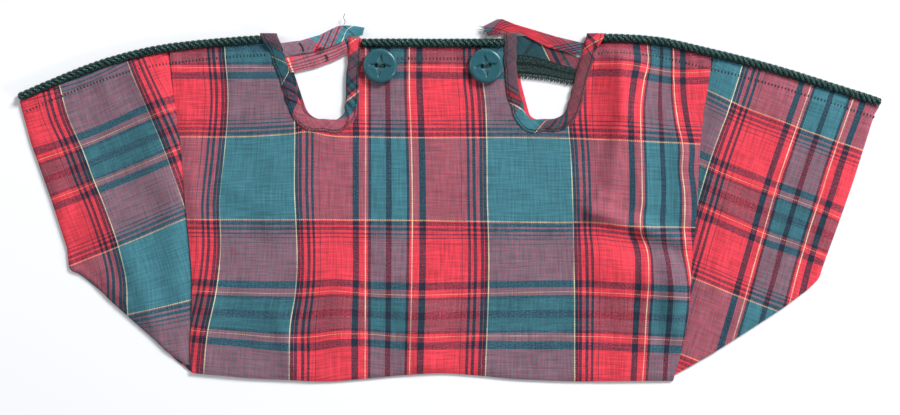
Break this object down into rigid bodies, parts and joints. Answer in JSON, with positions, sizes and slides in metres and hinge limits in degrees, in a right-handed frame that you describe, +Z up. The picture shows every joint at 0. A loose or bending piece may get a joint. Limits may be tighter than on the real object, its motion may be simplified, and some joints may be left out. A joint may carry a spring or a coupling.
{
  "type": "bagpipe bag cover",
  "caption": "Flat tartan cloth cover for a bagpipe bag, with a corded top edge, two bound stock openings, closing straps, a button flap and folding side wings.",
  "frame": {"origin": "on the surface the cover lies on, under the middle of its bounding box", "axes": "+X along the cover from the left wing to the right wing, +Y from the hem to the corded top seam, +Z up from the surface"},
  "size_m": [0.601, 0.2521, 0.0086],
  "materials": {
    "tartan_cloth": "woven tartan, matte",
    "bias_binding": "tartan cut on the bias, matte",
    "corded_edge": "twisted rayon cord, slightly shiny",
    "cord_lip": "woven tape, matte",
    "sewing_thread": "sewing thread",
    "button": "polished teal resin"
  },
  "bodies": {
    "cover": {"back_center_panel": "tartan_cloth", "front_center_panel": "tartan_cloth", "left_back_band": "tartan_cloth", "left_back_binding": "bias_binding", "left_front_binding": "bias_binding", "left_inner_cord": "corded_edge", "left_inner_lip": "cord_lip", "left_strap_root": "tartan_cloth", "left_topstitch": "sewing_thread", "right_back_band": "tartan_cloth", "right_back_binding": "bias_binding", "right_band_overlock": "sewing_thread", "right_front_binding": "bias_binding", "right_inner_cord": "corded_edge", "right_inner_lip": "cord_lip", "right_strap_root": "tartan_cloth", "right_topstitch": "sewing_thread"},
    "button_flap": {"button_flap": "tartan_cloth", "left_flap_binding": "bias_binding", "right_flap_binding": "bias_binding", "middle_cord": "corded_edge", "middle_lip": "cord_lip", "middle_topstitch": "sewing_thread", "left_button_shank": "sewing_thread", "right_button_shank": "sewing_thread"},
    "left_strap": {"left_strap": "tartan_cloth"},
    "right_strap": {"right_strap": "tartan_cloth"},
    "left_button": {"left_button": "button", "left_button_thread": "sewing_thread"},
    "right_button": {"right_button": "button", "right_button_thread": "sewing_thread"},
    "left_wing": {"left_front_wing": "tartan_cloth", "left_back_wing": "tartan_cloth", "left_wing_cord": "corded_edge", "left_wing_lip": "cord_lip", "left_wing_topstitch": "sewing_thread"},
    "right_wing": {"right_front_wing": "tartan_cloth", "right_back_wing": "tartan_cloth", "right_wing_cord": "corded_edge", "right_wing_lip": "cord_lip", "right_wing_topstitch": "sewing_thread"}
  },
  "joints": [
    {"name": "flap_fold", "type": "hinge", "parent": "cover", "child": "button_flap", "pos_m": [-0.0115, 0.0628, 0.0036], "axis": [1, 0, 0], "range_deg": [0, 150]},
    {"name": "left_strap_fold", "type": "hinge", "parent": "cover", "child": "left_strap", "pos_m": [-0.11615, 0.105, 0.0036], "axis": [0.3153, -0.949, 0], "range_deg": [0, 100]},
    {"name": "right_strap_fold", "type": "hinge", "parent": "cover", "child": "right_strap", "pos_m": [0.09247, 0.105, 0.0036], "axis": [0.2578, 0.9662, 0], "range_deg": [0, 100]},
    {"name": "left_wing_fold", "type": "hinge", "parent": "cover", "child": "left_wing", "pos_m": [-0.18625, -0.0062, 0.0032], "axis": [-0.0567, 0.9984, 0], "range_deg": [0, 90]},
    {"name": "right_wing_fold", "type": "hinge", "parent": "cover", "child": "right_wing", "pos_m": [0.16875, -0.0062, 0.0032], "axis": [-0.1108, -0.9938, 0], "range_deg": [0, 90]},
    {"name": "left_button_turn", "type": "hinge", "parent": "button_flap", "child": "left_button", "pos_m": [-0.0482, 0.09345, 0.0055], "axis": [0, 0, 1], "range_deg": [-30, 30]},
    {"name": "right_button_turn", "type": "hinge", "parent": "button_flap", "child": "right_button", "pos_m": [0.0252, 0.09345, 0.0055], "axis": [0, 0, 1], "range_deg": [-30, 30]}
  ]
}
